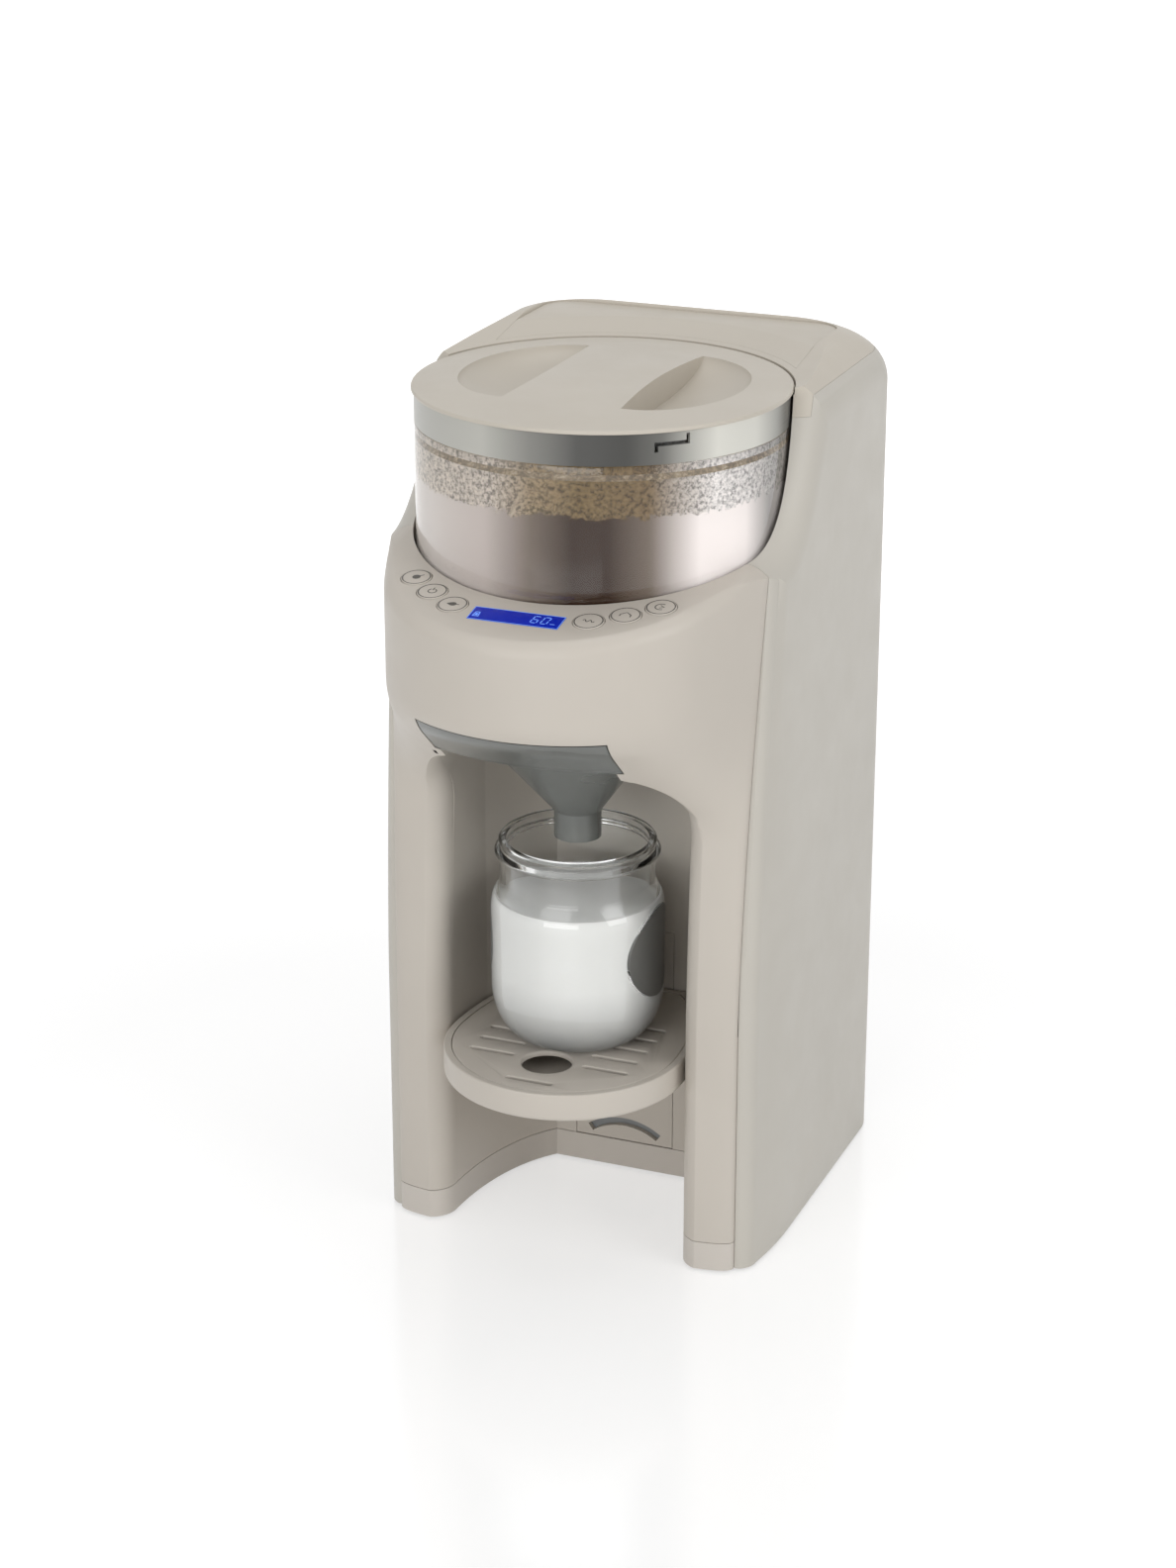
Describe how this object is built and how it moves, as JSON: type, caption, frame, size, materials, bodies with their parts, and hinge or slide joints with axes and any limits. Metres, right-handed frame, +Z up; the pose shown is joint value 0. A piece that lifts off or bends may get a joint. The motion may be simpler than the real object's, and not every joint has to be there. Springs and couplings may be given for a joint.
{
  "type": "baby formula maker",
  "caption": "Countertop baby formula maker: powder container over a control panel, bay with funnel, bottle and drip tray, rear tower with a lift-out water tank.",
  "frame": {"origin": "on the floor, under the middle of the machine's width and depth", "axes": "+Z up, -Y towards the user (front), +X to the right seen from the front"},
  "size_m": [0.1764, 0.245, 0.38],
  "materials": {
    "shell": "satin moulded plastic, warm cream",
    "side": "satin moulded plastic, warm cream",
    "lid": "satin moulded plastic, warm cream",
    "base": "satin moulded plastic, darker cream",
    "clear": "clear moulded plastic",
    "silver": "satin silver plastic",
    "smoke": "smoke-tinted clear plastic",
    "rubber": "matt dark rubber",
    "powder": "loose formula powder",
    "milk": "white liquid",
    "inner": "plain inner plastic",
    "steel": "machined steel",
    "circuit": "green circuit board",
    "screen": "backlit blue display"
  },
  "bodies": {
    "housing": {"front_housing": "shell", "bay_liner": "shell", "side_shell": "side", "tower_cap": "shell", "base_frame": "base", "foot_front_left": "rubber", "foot_front_right": "rubber", "foot_rear_left": "rubber", "foot_rear_right": "rubber", "base_screw_front_left": "steel", "base_screw_front_right": "steel", "base_screw_rear_left": "steel", "base_screw_rear_right": "steel", "bay_back_plate": "shell", "container_well": "inner", "chassis": "inner", "wheel_motor": "steel", "powder_chute": "smoke", "funnel_sensor": "inner", "valve_socket": "inner", "pump_body": "inner", "flow_valve": "inner", "heater": "steel", "tank_tube": "clear", "pump_tube": "clear", "heater_tube": "clear", "nozzle_tube": "clear", "water_nozzle": "smoke", "control_board": "circuit", "display_module": "screen", "display_window": "screen", "main_board": "circuit", "power_inlet": "rubber"},
    "container": {"powder_container": "clear", "scraper": "silver", "formula_powder": "powder"},
    "lid_seal": {"lid_gasket": "rubber"},
    "lid": {"container_lid": "lid", "lid_skirt": "silver"},
    "wheel": {"dosing_wheel": "clear", "stirrer": "silver"},
    "gear": {"drive_gear": "inner"},
    "pinion": {"motor_pinion": "steel"},
    "funnel": {"funnel": "smoke"},
    "tray": {"drip_tray": "shell"},
    "grate": {"tray_grate": "shell"},
    "bottle": {"bottle": "clear", "bottle_grip_left": "smoke", "bottle_grip_right": "smoke", "milk": "milk"},
    "tank": {"water_tank": "clear"},
    "tank_lid": {"tank_lid": "shell"},
    "valve": {"tank_valve": "inner"},
    "rotor": {"pump_rotor": "silver"},
    "button_left_1": {"button_left_1": "shell"},
    "button_right_1": {"button_right_1": "shell"},
    "button_left_2": {"button_left_2": "shell"},
    "button_right_2": {"button_right_2": "shell"},
    "button_left_3": {"button_left_3": "shell"},
    "button_right_3": {"button_right_3": "shell"}
  },
  "joints": [
    {"name": "container_lift", "type": "slide", "parent": "housing", "child": "container", "axis": [0, 0, 1], "range_m": [0, 0.12]},
    {"name": "lid_lift", "type": "slide", "parent": "container", "child": "lid_seal", "axis": [0, 0, 1], "range_m": [0, 0.08]},
    {"name": "lid_twist", "type": "hinge", "parent": "lid_seal", "child": "lid", "pos_m": [0, -0.0097, 0.373], "axis": [0, 0, 1], "range_deg": [0, 25]},
    {"name": "wheel_spin", "type": "hinge", "parent": "container", "child": "wheel", "pos_m": [0, -0.0097, 0.27], "axis": [0, 0, 1], "continuous": true},
    {"name": "gear_spin", "type": "hinge", "parent": "housing", "child": "gear", "pos_m": [0, -0.0097, 0.25], "axis": [0, 0, 1], "continuous": true},
    {"name": "pinion_spin", "type": "hinge", "parent": "housing", "child": "pinion", "pos_m": [0, 0.0403, 0.25], "axis": [0, 0, 1], "continuous": true},
    {"name": "funnel_slide", "type": "slide", "parent": "housing", "child": "funnel", "axis": [0, -1, 0], "range_m": [0, 0.09]},
    {"name": "tray_slide", "type": "slide", "parent": "housing", "child": "tray", "axis": [0, -1, 0], "range_m": [0, 0.12]},
    {"name": "grate_lift", "type": "slide", "parent": "tray", "child": "grate", "axis": [0, 0, 1], "range_m": [0, 0.01]},
    {"name": "bottle_slide", "type": "slide", "parent": "grate", "child": "bottle", "axis": [0, -1, 0], "range_m": [0, 0.15]},
    {"name": "tank_lift", "type": "slide", "parent": "housing", "child": "tank", "axis": [0, 0, 1], "range_m": [0, 0.25]},
    {"name": "tank_lid_hinge", "type": "hinge", "parent": "tank", "child": "tank_lid", "pos_m": [0, 0.101, 0.3775], "axis": [-1, 0, 0], "range_deg": [0, 95]},
    {"name": "tank_valve_lift", "type": "slide", "parent": "tank", "child": "valve", "axis": [0, 0, 1], "range_m": [0, 0.003], "stiffness_N_per_m": 200},
    {"name": "rotor_spin", "type": "hinge", "parent": "housing", "child": "rotor", "pos_m": [-0.042, 0.074, 0.017], "axis": [0, 0, 1], "continuous": true},
    {"name": "button_left_1_press", "type": "slide", "parent": "housing", "child": "button_left_1", "axis": [0, 0.1908, -0.9816], "range_m": [0, 0.0006], "stiffness_N_per_m": 1200},
    {"name": "button_right_1_press", "type": "slide", "parent": "housing", "child": "button_right_1", "axis": [0, 0.1908, -0.9816], "range_m": [0, 0.0006], "stiffness_N_per_m": 1200},
    {"name": "button_left_2_press", "type": "slide", "parent": "housing", "child": "button_left_2", "axis": [0, 0.1908, -0.9816], "range_m": [0, 0.0006], "stiffness_N_per_m": 1200},
    {"name": "button_right_2_press", "type": "slide", "parent": "housing", "child": "button_right_2", "axis": [0, 0.1908, -0.9816], "range_m": [0, 0.0006], "stiffness_N_per_m": 1200},
    {"name": "button_left_3_press", "type": "slide", "parent": "housing", "child": "button_left_3", "axis": [0, 0.1908, -0.9816], "range_m": [0, 0.0006], "stiffness_N_per_m": 1200},
    {"name": "button_right_3_press", "type": "slide", "parent": "housing", "child": "button_right_3", "axis": [0, 0.1908, -0.9816], "range_m": [0, 0.0006], "stiffness_N_per_m": 1200}
  ],
  "couplings": [
    {"joint": "gear_spin", "follows": "wheel_spin", "ratio": 1},
    {"joint": "pinion_spin", "follows": "wheel_spin", "ratio": -4}
  ]
}
